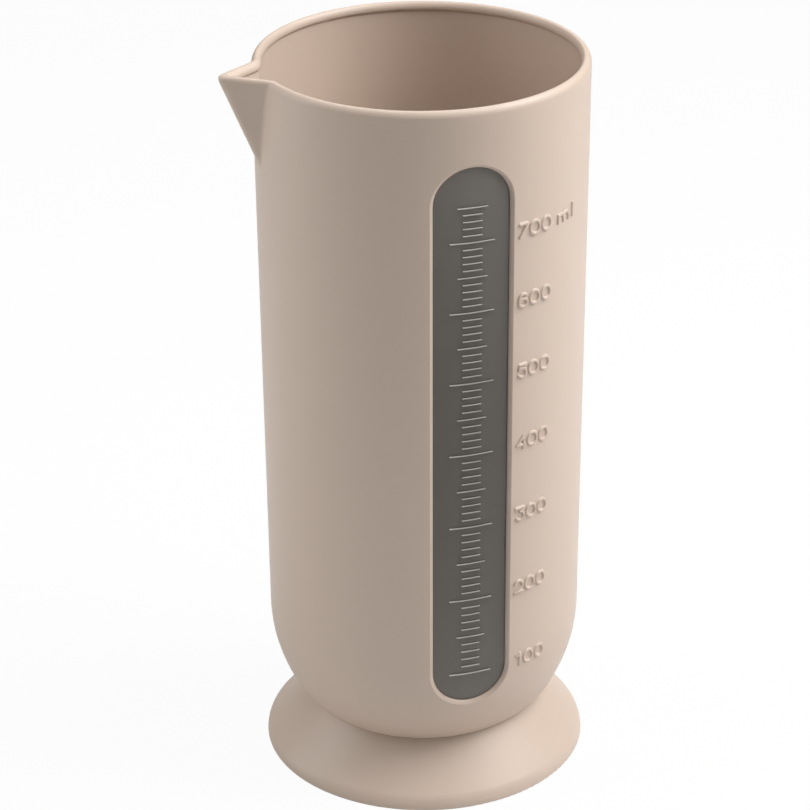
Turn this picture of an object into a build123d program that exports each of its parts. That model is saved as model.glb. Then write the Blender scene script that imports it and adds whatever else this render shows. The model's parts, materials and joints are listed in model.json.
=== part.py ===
from build123d import *
import math
import os

os.makedirs("parts", exist_ok=True)

# Measuring jug: round cup with a pouring spout, a level window and a flared foot.
# Millimetres. Z is up from the table, the window faces -Y and the spout points to -X.

# ---- cup, outside
rim_radius = 42.7          # outside of the mouth
jug_height = 197.0
wall_draft = 0.0064        # radius lost for each mm below the rim
waist_height = 15.4        # crease between belly and foot
waist_in = 9.91            # the crease inside the wall's lower end
waist_lean = 50.0          # degrees from vertical
belly_rise = 26.8          # from the crease up to the straight wall
belly_mid_rise = 12.0      # from the crease up to a point half way round the belly
belly_mid_in = 2.66        # that point inside the wall's lower end
belly_mid_lean = 20.5      # degrees from vertical

# ---- cup, walls and floor
lip_thick = 2.5
lip_height = 2.2
lip_crown = 1.0            # rounding of both edges of the lip
wall_top = 2.0             # wall just under the lip
wall_low = 3.2             # wall where the belly starts
floor_below_waist = 0.8    # top of the floor under the crease
floor_thick = 2.4
floor_corner = 12.0        # reach of the inside curve from mid belly to the flat floor

# ---- spout
spout_reach = 11.4         # sharp meeting of the flanks beyond the rim
spout_half_angle = 35.3    # degrees, each flank from the spout's centre line
spout_rake = 22.4          # degrees, keel from vertical
spout_tip_round = 1.8
spout_root_round = 2.0
spout_inner_round = 0.6

# ---- level window
window_half_width = 9.9
window_below_rim = 14.9
window_above_belly = 3.4   # its low end above the belly's middle point
window_margin = 8.6        # least room between an end of the opening and a mark
window_recess = 1.2        # face of the strip behind the wall's outside
window_edge_round = 1.1
flange_reach = 1.5         # hidden flange beyond the opening, all round
flange_cover = 1.45        # wall left in front of the flange

# ---- graduations, one raised ridge for each step of volume
mark_step = 10             # ml
mark_medium_step = 50      # the scale starts and ends with one of these
mark_long_step = 100       # these have numerals
mark_long = 11.3
mark_medium = 7.5
mark_short = 4.9
mark_tall = 0.8            # height of one ridge
mark_relief = 0.3

# ---- numerals
scale_low_trim = -2.0      # ml in the round cavity below the lowest mark, less its number
scale_high_trim = -9.4     # the same at the highest mark
scale_mid_trim = 9.3       # added to both half way up
label_gap = 2.1            # from the opening's edge to the first digit
label_lift = 1.05          # centre of the digits above their mark
digit_height = 4.1
digit_width = 3.2
zero_width = 3.75
digit_gap = 0.22
unit_gap = 2.4             # space between the last digit and the unit
letter_gap = 1.5           # between the unit's letters
stroke = 0.72
label_relief = 0.45

# ---- foot
foot_reach = 0.8           # edge of the foot beyond the rim
foot_edge_round = 5.2
foot_sole_round = 0.4
foot_wall = 2.0
collar_thick = 2.4

# ---- joint between cup and foot
spigot_in = 6.6            # outside of the spigot inside the crease
spigot_wall = 2.4
spigot_clear = 0.05        # around the spigot and under the collar
bead_out = 0.5             # snap bead below the collar
bead_height = 1.4
spigot_below_bead = 0.6

belly_top = waist_height + belly_rise
belly_mid_height = waist_height + belly_mid_rise
belly_mid_radius = rim_radius - wall_draft * (jug_height - belly_top) - belly_mid_in
waist_radius = belly_mid_radius + belly_mid_in - waist_in
floor_height = waist_height - floor_below_waist
under_height = floor_height - floor_thick
foot_radius = rim_radius + foot_reach
spigot_radius = waist_radius - spigot_in
spout_apex = rim_radius + spout_reach
lip_base = jug_height - lip_height
half_angle = math.radians(spout_half_angle)
rake = math.radians(spout_rake)


# ---------------------------------------------------------------- round walls
def outer_radius(z):
    """Outside radius of the straight wall."""
    return rim_radius - wall_draft * (jug_height - z)


def inner_radius(z):
    """Inside radius of the straight wall, which thickens towards the belly."""
    share = (lip_base - z) / (lip_base - belly_top)
    return outer_radius(z) - wall_top - (wall_low - wall_top) * share


def inward(angle):
    """Direction of a profile that runs down and in, so many degrees from vertical."""
    return (-math.sin(math.radians(angle)), -math.cos(math.radians(angle)))


def shifted(point, angle, inset):
    """Point moved square to such a profile, towards the inside."""
    turn = math.radians(angle)
    return (point[0] - inset * math.cos(turn), point[1] + inset * math.sin(turn))


def revolved(edges):
    """Solid of revolution about the cup's axis from edges drawn as (radius, height)."""
    return revolve(Plane.XZ * make_face(Wire(edges)), Axis.Z)


def outer_shape(inset, top):
    """Solid of the cup's outside without the spout, drawn in by inset."""
    start = (outer_radius(belly_top) - inset, belly_top)
    middle = shifted((belly_mid_radius, belly_mid_height), belly_mid_lean, inset)
    end = shifted((waist_radius, waist_height), waist_lean, inset)
    base = under_height + inset
    seat = (end[0] - (end[1] - base) * math.tan(math.radians(waist_lean)), base)
    high = (outer_radius(top) - inset, top)
    edges = [
        Line(high, start),
        Spline(start, middle, tangents=[(-wall_draft, -1.0), inward(belly_mid_lean)]),
        Spline(middle, end, tangents=[inward(belly_mid_lean), inward(waist_lean)]),
        Line(end, seat),
        Line(seat, (0, base)),
        Line((0, base), (0, top)),
        Line((0, top), high),
    ]
    return revolved(edges)


def cavity_shape(top):
    """Solid of the space inside the cup below the lip, without the spout."""
    start = (inner_radius(belly_top), belly_top)
    middle = shifted((belly_mid_radius, belly_mid_height), belly_mid_lean, wall_low)
    end = (middle[0] - floor_corner, floor_height)
    lean = (inner_radius(top) - start[0]) / (top - belly_top)
    edges = [
        Line((inner_radius(top), top), start),
        Spline(start, middle, tangents=[(-lean, -1.0), inward(belly_mid_lean)]),
        Spline(middle, end, tangents=[inward(belly_mid_lean), (-1.0, 0.0)]),
        Line(end, (0, floor_height)),
        Line((0, floor_height), (0, top)),
        Line((0, top), (inner_radius(top), top)),
    ]
    return revolved(edges)


# ---------------------------------------------------------------- spout
def apex_radius(z, inset):
    """From the axis to where the two flanks meet at this height."""
    return spout_apex - inset / math.sin(half_angle) - (jug_height - z) * math.tan(rake)


def flank_prism(inset, top, keel_round):
    """Raked prism between the two flanks, drawn in by inset, its low end inside the cup."""
    low_apex = inner_radius(belly_top) - spout_root_round
    low = top - (apex_radius(top, inset) - low_apex) / math.tan(rake)
    back = low_apex / 2

    def section(z):
        width = (apex_radius(z, inset) - back) * math.tan(half_angle)
        corners = [(-apex_radius(z, inset), 0), (-back, -width), (-back, width)]
        return Plane.XY.offset(z) * make_face(Polyline(*corners, close=True))

    prism = loft([section(low), section(top)], ruled=True)
    rising = prism.edges().filter_by(lambda e: low < e.center().Z - 1e-3 < top - 2e-3)
    return fillet(rising.sort_by(Axis.X)[0], keel_round)


def crease_edges(shape, radius_at, top):
    """Edges where the flanks of the spout run into the round wall."""

    def on_wall(edge):
        spots = [edge.position_at(t) for t in (0.1, 0.5, 0.9)]
        near = [abs(math.hypot(p.X, p.Y) - radius_at(p.Z)) < 0.01 for p in spots]
        return all(near) and spots[1].X < -rim_radius / 2 and spots[1].Z < top - 0.01

    return shape.edges().filter_by(on_wall)


def lip_slice(shape):
    """Part of a shape between the lip's lower edge and the rim."""
    size = 3 * spout_apex
    align = (Align.CENTER, Align.CENTER, Align.MIN)
    return shape & Pos(0, 0, lip_base) * Box(size, size, lip_height, align=align)


# ---------------------------------------------------------------- level window
window_low = belly_mid_height + window_above_belly
window_high = jug_height - window_below_rim
cavity_round = cavity_shape(lip_base)
cavity_lean = (inner_radius(lip_base) - inner_radius(belly_top)) / (lip_base - belly_top)


def cone_volume(z):
    """Cubic mm of the drafted cavity between the belly's top and this height."""
    low, high = inner_radius(belly_top), inner_radius(z)
    return math.pi / 3 * (high**3 - low**3) / cavity_lean


belly_volume = cavity_round.volume - cone_volume(lip_base)


def volume_below(z):
    """Ml that the round cavity holds up to this height of its drafted part."""
    return (belly_volume + cone_volume(z)) / 1000


def mark_height(volume):
    """Height of a mark: where the round cavity holds its volume, moved by the scale's trims."""
    share = (volume - mark_lowest) / (mark_highest - mark_lowest)
    trim = scale_low_trim + (scale_high_trim - scale_low_trim) * share + 4 * scale_mid_trim * share * (1 - share)
    low = inner_radius(belly_top)
    above = (volume + trim) * 1000 - belly_volume
    return belly_top + ((low**3 + 3 * cavity_lean * above / math.pi) ** (1 / 3) - low) / cavity_lean


def mark_length(volume):
    """Length of a ridge by the roundness of its volume."""
    if volume % mark_long_step == 0:
        return mark_long
    return mark_medium if volume % mark_medium_step == 0 else mark_short


mark_lowest = math.ceil(volume_below(window_low + window_margin) / mark_medium_step) * mark_medium_step
mark_highest = int(volume_below(window_high - window_margin) // mark_medium_step) * mark_medium_step
volumes = range(mark_lowest, mark_highest + 1, mark_step)
label_volumes = [v for v in volumes if v % mark_long_step == 0]


def front_bar(length, height, z):
    """Bar with round ends that runs through the front wall at this height."""
    wide = length > height
    slot = SlotOverall(max(length, height), min(length, height), rotation=0 if wide else 90)
    return extrude(Plane.XZ.offset(rim_radius / 2) * Pos(0, z) * slot, rim_radius)


def window_bar(grow):
    """Bar of the window opening, bigger by grow all round."""
    height = window_high - window_low + 2 * grow
    return front_bar(2 * (window_half_width + grow), height, (window_low + window_high) / 2)


def on_opening(edge):
    """Whether an edge is where the opening meets the wall's outside."""
    spots = [edge.position_at(t) for t in (0.1, 0.5, 0.9)]
    near = [abs(p.X) < window_half_width + 0.01 and p.Y < 0 for p in spots]
    return all(near) and all(outside.distance_to(Vertex(p)) < 0.01 for p in spots)


# ---------------------------------------------------------------- numerals
def bar(start, end):
    """Straight stroke with round ends."""
    dx, dy = end[0] - start[0], end[1] - start[1]
    centre = Pos((start[0] + end[0]) / 2, (start[1] + end[1]) / 2)
    slot = SlotCenterToCenter(math.hypot(dx, dy), stroke)
    return centre * Rot(0, 0, math.degrees(math.atan2(dy, dx))) * slot


def bow(centre, radius, start, sweep):
    """Curved stroke with round ends."""
    return SlotArc(CenterArc(centre, radius, start, sweep), stroke)


def ring(centre, wide, high):
    """Closed oval stroke, measured outside."""
    hole = Ellipse(wide / 2 - stroke, high / 2 - stroke)
    return Pos(*centre) * (Ellipse(wide / 2, high / 2) - hole)


left, right = stroke / 2, digit_width - stroke / 2
low, high = stroke / 2, digit_height - stroke / 2
mid = digit_width / 2
bowl = (right - left) / 2          # radius of a digit's round part
arch = 0.87 * bowl                 # radius of the arches of the letter m
seven_width = 0.92 * digit_width


def glyph_zero():
    return ring((zero_width / 2, digit_height / 2), zero_width, digit_height)


def glyph_one():
    return bar((mid, low), (mid, high)) + bar((mid, high), (mid - 0.8 * bowl, high - 0.55 * bowl))


def glyph_two():
    turn = math.radians(35)
    knee = (mid + bowl * math.cos(turn), high - bowl - bowl * math.sin(turn))
    return bow((mid, high - bowl), bowl, -35, 200) + bar(knee, (left, low)) + bar((left, low), (right, low))


def glyph_three():
    top = bar((left, high), (right, high)) + bar((right, high), (mid, low + 2 * bowl))
    return top + bow((mid, low + bowl), bowl, -145, 235)


def glyph_four():
    stem = right - 0.35 * bowl
    cross = low + 0.28 * (high - low)
    slant = bar((stem, high), (left, cross))
    return bar((stem, low), (stem, high)) + slant + bar((left, cross), (right, cross))


def glyph_five():
    corner = (left + 0.35 * bowl, high)
    join = (left + 0.25 * bowl, low + 1.75 * bowl)
    return bar(corner, (right, high)) + bar(corner, join) + bow((mid, low + bowl), bowl, -145, 268)


def glyph_six():
    reach = high - 0.5 * bowl
    hook = ring((mid, digit_height / 2), digit_width, digit_height)
    hook -= Pos(mid + digit_width / 2, reach / 2) * Rectangle(digit_width, reach)
    return hook + ring((mid, low + 0.85 * bowl), digit_width, 1.7 * bowl + stroke)


def glyph_seven():
    tip = seven_width - stroke / 2
    return bar((left, high), (tip, high)) + bar((tip, high), (left + 0.05 * bowl, low))


def glyph_eight():
    waist = low + 0.54 * (high - low)
    lower = ring((mid, (low + waist) / 2), digit_width, waist - low + stroke)
    return lower + ring((mid, (waist + high) / 2), digit_width - stroke / 2, high - waist + stroke)


def glyph_nine():
    return Pos(digit_width, digit_height) * Rot(0, 0, 180) * glyph_six()


def glyph_m():
    top = low + 0.62 * (high - low)
    letter = bar((left, low), (left, top))
    for i in (1, 2):
        letter += bow((left + (2 * i - 1) * arch, top - arch), arch, 0, 180)
        letter += bar((left + 2 * i * arch, low), (left + 2 * i * arch, top - arch))
    return letter


def glyph_l():
    return bar((left, low), (left, high))


glyphs = {
    "0": (glyph_zero, zero_width),
    "1": (glyph_one, digit_width),
    "2": (glyph_two, digit_width),
    "3": (glyph_three, digit_width),
    "4": (glyph_four, digit_width),
    "5": (glyph_five, digit_width),
    "6": (glyph_six, digit_width),
    "7": (glyph_seven, seven_width),
    "8": (glyph_eight, digit_width),
    "9": (glyph_nine, digit_width),
    "m": (glyph_m, stroke + 4 * arch),
    "l": (glyph_l, stroke),
}


def label_glyphs(volume):
    """Names of a numeral's glyphs, each with its start along the wall; the last one has the unit."""
    placed = []
    x = 0.0
    for name in str(volume):
        placed.append((name, x))
        x += glyphs[name][1] + digit_gap
    x += unit_gap - digit_gap
    for name in "ml" if volume == label_volumes[-1] else "":
        placed.append((name, x))
        x += glyphs[name][1] + letter_gap
    return placed


# the first digit starts a gap beside the opening, measured along the wall
label_wall = outer_radius((window_low + window_high) / 2)
label_start = math.asin(window_half_width / label_wall) + label_gap / label_wall


def label_bars(volume):
    """Numeral whose glyphs stand out square to the wall, from inside it to beyond their relief."""
    z = mark_height(volume) + label_lift - digit_height / 2
    start = outer_radius(z) - 2 * label_relief
    bars = []
    for name, x in label_glyphs(volume):
        draw, width = glyphs[name]
        turn = label_start + (x + width / 2) / label_wall
        radial = (math.sin(turn), -math.cos(turn), 0)
        along = (math.cos(turn), math.sin(turn), 0)
        plane = Plane(origin=(radial[0] * start, radial[1] * start, z), x_dir=along, z_dir=radial)
        bars.append(extrude(plane * Pos(-width / 2, 0) * draw(), 6 * label_relief))
    return bars


# ---------------------------------------------------------------- cup body
body = outer_shape(0.0, jug_height) + flank_prism(0.0, jug_height, spout_tip_round)
body = fillet(crease_edges(body, outer_radius, jug_height), spout_root_round)

cavity = cavity_round + flank_prism(wall_top, lip_base, spout_inner_round)
cavity = fillet(crease_edges(cavity, inner_radius, lip_base), spout_root_round + wall_top)

mouth_radius = rim_radius - lip_thick
mouth = lip_slice(Cylinder(mouth_radius, 3 * jug_height)) + lip_slice(
    flank_prism(lip_thick, jug_height, spout_inner_round)
)
mouth = fillet(crease_edges(mouth, lambda z: mouth_radius, jug_height), spout_root_round + lip_thick)

body = body - cavity - mouth
crown = body.edges().filter_by(lambda e: e.bounding_box().min.Z > jug_height - 0.001)
body = fillet(crown, lip_crown)

pocket = window_bar(flange_reach) & outer_shape(flange_cover, lip_base)
outside = Compound(children=list(outer_shape(0.0, jug_height).faces().sort_by(Axis.Z)[1:-1]))
cup = body - window_bar(0.0) - pocket
# the round stays in front of the flange's pocket
cup = fillet(cup.edges().filter_by(on_opening), min(window_edge_round, 0.78 * flange_cover))

skin = outer_shape(-label_relief, lip_base)
labels = [glyph & skin for volume in label_volumes for glyph in label_bars(volume)]

bead_top = under_height - collar_thick - spigot_clear
bead_low = bead_top - bead_height
spigot_inner = spigot_radius - spigot_wall
spigot = Polyline(
    (spigot_inner, under_height + floor_thick / 2),
    (spigot_radius, under_height + floor_thick / 2),
    (spigot_radius, bead_top),
    (spigot_radius + bead_out, bead_top - bead_height / 3),
    (spigot_radius, bead_low),
    (spigot_radius, bead_low - spigot_below_bead),
    (spigot_inner, bead_low - spigot_below_bead),
    close=True,
)
cup += labels + [revolve(Plane.XZ * make_face(spigot), Axis.Z)]

# ---------------------------------------------------------------- window strip
pane = window_bar(0.0) & outer_shape(window_recess, lip_base)
flange = window_bar(flange_reach) & outer_shape(flange_cover, lip_base)
ridges = Part() + [front_bar(mark_length(v), mark_tall, mark_height(v)) for v in volumes]
ridges &= outer_shape(window_recess - mark_relief, lip_base)
window = pane + [flange, ridges] - cavity_round

# ---------------------------------------------------------------- foot
edge_centre = (foot_radius - foot_edge_round, foot_sole_round)
# the cone runs from the cup's crease and touches the round of the foot's edge
to_crease = (waist_radius - edge_centre[0], waist_height - edge_centre[1])
touch = math.asin(foot_edge_round / math.hypot(*to_crease))
slope = math.pi - math.atan2(to_crease[1], to_crease[0]) - touch
inner_round = foot_edge_round - foot_wall


def on_edge(radius, angle):
    """Point on the round of the foot's edge."""
    return (edge_centre[0] + radius * math.cos(angle), edge_centre[1] + radius * math.sin(angle))


def up_slope(point, height):
    """Point at this height on the line through point at the foot's slope."""
    return (point[0] - (height - point[1]) / math.tan(slope), height)


shoulder = on_edge(foot_edge_round, math.pi / 2 - slope)
inner_shoulder = on_edge(inner_round, math.pi / 2 - slope)
collar_low = under_height - collar_thick
crest = up_slope(shoulder, waist_height + foot_wall)
bore = spigot_radius + spigot_clear
sole_inner = (on_edge(inner_round, 0)[0], 0.0)
sole_outer = (foot_radius - foot_sole_round, 0.0)
foot_edges = [
    Line((bore, crest[1]), crest),
    Line(crest, shoulder),
    RadiusArc(shoulder, on_edge(foot_edge_round, 0), foot_edge_round),
    RadiusArc(on_edge(foot_edge_round, 0), sole_outer, foot_sole_round),
    Line(sole_outer, sole_inner),
    Line(sole_inner, on_edge(inner_round, 0)),
    RadiusArc(on_edge(inner_round, 0), inner_shoulder, -inner_round),
    Line(inner_shoulder, up_slope(inner_shoulder, collar_low)),
    Line(up_slope(inner_shoulder, collar_low), (bore, collar_low)),
    Line((bore, collar_low), (bore, crest[1])),
]
foot = revolved(foot_edges) - outer_shape(0.0, jug_height)

# ---------------------------------------------------------------- files
print(f"marks from {mark_lowest} ml at {mark_height(mark_lowest):.1f} mm to {mark_highest} ml at "
      f"{mark_height(mark_highest):.1f} mm, brimful {volume_below(lip_base):.0f} ml without the spout")
print(f"window opening from {window_low:.1f} to {window_high:.1f} mm")
for name, shape in (("cup_body", cup), ("level_window", window), ("foot_skirt", foot)):
    print(name, "solids", len(shape.solids()), "valid", shape.is_valid, "mm3", round(shape.volume, 1))
    export_step(shape, f"parts/{name}.step")
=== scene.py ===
"""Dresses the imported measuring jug: its finishes, its studio and the camera that looks at it."""
import json
import logging
import math
from dataclasses import dataclass, field
from enum import Enum
from typing import Any, Sequence

import bmesh
import bpy
import numpy as np
from mathutils import Matrix, Vector, geometry

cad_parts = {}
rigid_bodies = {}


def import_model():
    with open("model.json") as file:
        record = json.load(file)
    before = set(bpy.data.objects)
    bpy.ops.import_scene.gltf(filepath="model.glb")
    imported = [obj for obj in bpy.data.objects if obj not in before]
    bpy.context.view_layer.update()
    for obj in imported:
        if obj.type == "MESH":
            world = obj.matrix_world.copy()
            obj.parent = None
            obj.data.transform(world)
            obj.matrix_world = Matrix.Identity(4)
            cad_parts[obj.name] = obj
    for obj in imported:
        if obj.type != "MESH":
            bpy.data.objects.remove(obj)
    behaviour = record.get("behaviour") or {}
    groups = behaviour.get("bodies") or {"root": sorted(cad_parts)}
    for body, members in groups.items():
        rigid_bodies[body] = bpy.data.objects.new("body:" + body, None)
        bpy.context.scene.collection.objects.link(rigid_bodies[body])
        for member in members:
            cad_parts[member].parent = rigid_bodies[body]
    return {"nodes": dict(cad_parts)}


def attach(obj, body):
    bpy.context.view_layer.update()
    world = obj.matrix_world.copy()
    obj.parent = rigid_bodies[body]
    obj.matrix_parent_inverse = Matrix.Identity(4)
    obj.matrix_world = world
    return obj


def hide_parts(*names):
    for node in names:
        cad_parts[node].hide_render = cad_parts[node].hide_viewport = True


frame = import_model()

MM = 0.001
LOG = logging.getLogger("jug")
MM3_PER_ML = 1000
BODY = "root"
# Name of the attribute that carries the painted highlight on the graduation marks' tops and left ends.
HIGHLIGHT_PAINT_ATTRIBUTE = "crest"
PLASTIC_IOR = 1.49
FINE_STEPS = 80


# ------------------------------------------------------------------ shader maths
class Sock:
    """A value in a shader: it wraps one output socket, so maths reads as an expression."""

    def __init__(self, bench: "Bench", socket: Any) -> None:
        """Args:
            bench: the node bench that owns the socket.
            socket: an output socket or a plain number.
        """
        self.bench = bench
        self.socket = socket

    def _math(self, operation: str, first: Any, second: Any) -> "Sock":
        """Adds one Math node.

        Args:
            operation: the node's operation.
            first: left operand.
            second: right operand.

        Returns:
            The wrapped result.
        """
        return self.bench.add("ShaderNodeMath", {"operation": operation}, {0: first, 1: second})

    def __add__(self, other: Any) -> "Sock":
        """Sum."""
        return self._math("ADD", self, other)

    def __radd__(self, other: Any) -> "Sock":
        """Sum with a number on the left."""
        return self._math("ADD", other, self)

    def __sub__(self, other: Any) -> "Sock":
        """Difference."""
        return self._math("SUBTRACT", self, other)

    def __rsub__(self, other: Any) -> "Sock":
        """Difference with a number on the left."""
        return self._math("SUBTRACT", other, self)

    def __mul__(self, other: Any) -> "Sock":
        """Product."""
        return self._math("MULTIPLY", self, other)

    def __rmul__(self, other: Any) -> "Sock":
        """Product with a number on the left."""
        return self._math("MULTIPLY", other, self)

    def __truediv__(self, other: Any) -> "Sock":
        """Quotient."""
        return self._math("DIVIDE", self, other)

    def __rtruediv__(self, other: Any) -> "Sock":
        """Quotient of a number on the left."""
        return self._math("DIVIDE", other, self)

    def __pow__(self, other: Any) -> "Sock":
        """Power."""
        return self._math("POWER", self, other)

    def __mod__(self, other: Any) -> "Sock":
        """Remainder."""
        return self._math("MODULO", self, other)

    def above(self, other: Any) -> "Sock":
        """One where this is greater, else nought."""
        return self._math("GREATER_THAN", self, other)

    def least(self, other: Any) -> "Sock":
        """The smaller of the two."""
        return self._math("MINIMUM", self, other)

    def most(self, other: Any) -> "Sock":
        """The greater of the two."""
        return self._math("MAXIMUM", self, other)

    def sine(self) -> "Sock":
        """Sine."""
        return self._math("SINE", self, 0.0)

    def cosine(self) -> "Sock":
        """Cosine."""
        return self._math("COSINE", self, 0.0)


class Bench:
    """Lays out the nodes of one material or world."""

    def __init__(self, tree: Any) -> None:
        """Args:
            tree: the node tree to fill; what it held is cleared.
        """
        self.tree = tree
        tree.nodes.clear()

    def add(
        self,
        kind: str,
        settings: dict[str, Any] | None = None,
        sockets: dict[Any, Any] | None = None,
        output: Any = 0,
    ) -> Sock:
        """Adds a node, sets it, then links or fills its sockets.

        Args:
            kind: the node's type name.
            settings: attributes of the node, set first.
            sockets: input name or number to a value or a wrapped socket.
            output: name or number of the output to hand back.

        Returns:
            The wrapped output, or a wrapper of the node itself if it has no outputs.
        """
        node = self.tree.nodes.new(kind)
        for name, value in (settings or {}).items():
            setattr(node, name, value)
        for name, value in (sockets or {}).items():
            if isinstance(value, Sock):
                self.tree.links.new(value.socket, node.inputs[name])
            else:
                node.inputs[name].default_value = value
        return Sock(self, node.outputs[output] if len(node.outputs) else node)

    def split(self, vector: Sock) -> list[Sock]:
        """Args:
            vector: a wrapped vector.

        Returns:
            Its three parts.
        """
        node = self.tree.nodes.new("ShaderNodeSeparateXYZ")
        self.tree.links.new(vector.socket, node.inputs[0])
        return [Sock(self, output) for output in node.outputs]

    def join(self, x: Any, y: Any, z: Any) -> Sock:
        """Args:
            x: first part.
            y: second part.
            z: third part.

        Returns:
            The vector made of them.
        """
        return self.add("ShaderNodeCombineXYZ", None, {0: x, 1: y, 2: z})


# ------------------------------------------------------------------ finishes
@dataclass(frozen=True)
class SatinPlastic:
    """Opaque moulded plastic with a fine even grain.

    Attributes:
        name: the material's name.
        colour: linear base colour.
        tint: how far the slow mottling moves the colour, as a share.
        mottle: how many patches of it fit in a metre.
        roughness: middle roughness.
        spread: how far the grain moves the roughness in all.
        grain: grain size in metres.
        grain_deep: height of the grain in metres.
        grain_strength: share of it that shows.
    """

    name: str = "beige_satin_plastic"
    colour: tuple[float, float, float] = (0.60, 0.48, 0.395)
    tint: float = 0.02
    mottle: float = 22.0
    roughness: float = 0.42
    spread: float = 0.06
    grain: float = 0.0007
    grain_deep: float = 0.00003
    grain_strength: float = 0.12

    def build(self) -> bpy.types.Material:
        """Makes the material.

        Returns:
            The new material.
        """
        material = bpy.data.materials.new(self.name)
        material.use_nodes = True
        bench = Bench(material.node_tree)
        place = bench.add("ShaderNodeTexCoord", output="Object")
        slow = bench.add("ShaderNodeTexNoise", None, {"Vector": place, "Scale": self.mottle, "Detail": 2.0})
        fine = bench.add(
            "ShaderNodeTexNoise", None, {"Vector": place, "Scale": 1 / self.grain, "Detail": 3.0}
        )
        pale = tuple(c * (1 + self.tint) for c in self.colour) + (1.0,)
        deep = tuple(c * (1 - self.tint) for c in self.colour) + (1.0,)
        colour = bench.add("ShaderNodeMix", {"data_type": "RGBA"}, {0: slow, 6: deep, 7: pale}, output=2)
        bump = bench.add(
            "ShaderNodeBump",
            None,
            {"Strength": self.grain_strength, "Distance": self.grain_deep, "Height": fine},
        )
        shader = bench.add(
            "ShaderNodeBsdfPrincipled",
            None,
            {
                "Base Color": colour,
                "Roughness": self.roughness - self.spread / 2 + self.spread * fine,
                "Normal": bump,
                "IOR": PLASTIC_IOR,
            },
        )
        bench.add("ShaderNodeOutputMaterial", None, {"Surface": shader})
        return material


@dataclass(frozen=True)
class SmokePlastic:
    """Smoke-tinted see-through plastic.

    Attributes:
        name: the material's name.
        colour: linear base colour.
        alpha: how much of what lies behind is held back.
        roughness: middle roughness.
        spread: how far slow mottling moves the roughness in all.
        mottle: how many patches of it fit in a metre.
        middle: height where the painted shade is deepest, in metres.
        span: from there to the ends.
        swell: how much painted light lightens the ends.
        fall: how much painted shade darkens the right side.
        half_width: from the middle line to the side.
        crest: how much a painted highlight lightens the tops and left ends of raised marks.
    """

    name: str = "smoke_clear_plastic"
    colour: tuple[float, float, float] = (0.125, 0.113, 0.098)
    alpha: float = 0.86
    roughness: float = 0.3
    spread: float = 0.04
    mottle: float = 40.0
    middle: float = 0.100
    span: float = 0.074
    swell: float = 0.42
    fall: float = 0.22
    half_width: float = 0.0099
    crest: float = 0.0

    def build(self) -> bpy.types.Material:
        """Makes the material.

        Returns:
            The new material.
        """
        material = bpy.data.materials.new(self.name)
        material.use_nodes = True
        bench = Bench(material.node_tree)
        place = bench.add("ShaderNodeTexCoord", output="Object")
        slow = bench.add("ShaderNodeTexNoise", None, {"Vector": place, "Scale": self.mottle, "Detail": 2.0})
        x, _, z = bench.split(place)
        # Painted light and shade: the strip's colour is painted lighter towards its top and bottom ends and
        # darker towards its right side.
        rise = (z - self.middle) / self.span
        deep = (1.0 + self.swell * rise * rise) * (1.0 - self.fall * (x / self.half_width).most(0.0))
        # Painted highlight: the stored attribute lightens the marks' tops and left ends.
        painted_glint = bench.add("ShaderNodeAttribute", {"attribute_name": HIGHLIGHT_PAINT_ATTRIBUTE}, output="Fac") * self.crest
        tint = bench.join(*(share * deep + painted_glint for share in self.colour))
        shader = bench.add(
            "ShaderNodeBsdfPrincipled",
            None,
            {
                "Base Color": tint,
                "Roughness": self.roughness - self.spread / 2 + self.spread * slow,
                "Alpha": self.alpha,
                "IOR": PLASTIC_IOR,
            },
        )
        bench.add("ShaderNodeOutputMaterial", None, {"Surface": shader})
        return material


# ------------------------------------------------------------------ forms, in millimetres
def bend(
    start: tuple[float, float],
    start_way: tuple[float, float],
    end: tuple[float, float],
    end_way: tuple[float, float],
    pull: tuple[float, float],
    count: int,
) -> list[tuple[float, float]]:
    """Smooth curve between two points of a profile.

    Args:
        start: first point as radius and height.
        start_way: direction of travel there.
        end: last point.
        end_way: direction of travel there.
        pull: strength of each direction, as a share of the chord.
        count: how many steps.

    Returns:
        The points, both ends included.
    """
    first, last = np.array(start), np.array(end)
    chord = np.linalg.norm(last - first)
    leave = np.array(start_way) / np.linalg.norm(start_way) * chord * pull[0]
    arrive = np.array(end_way) / np.linalg.norm(end_way) * chord * pull[1]
    t = np.linspace(0.0, 1.0, count + 1)[:, None]
    curve = (2 * t**3 - 3 * t**2 + 1) * first + (t**3 - 2 * t**2 + t) * leave
    curve += (3 * t**2 - 2 * t**3) * last + (t**3 - t**2) * arrive
    return [(float(r), float(z)) for r, z in curve]


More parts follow.
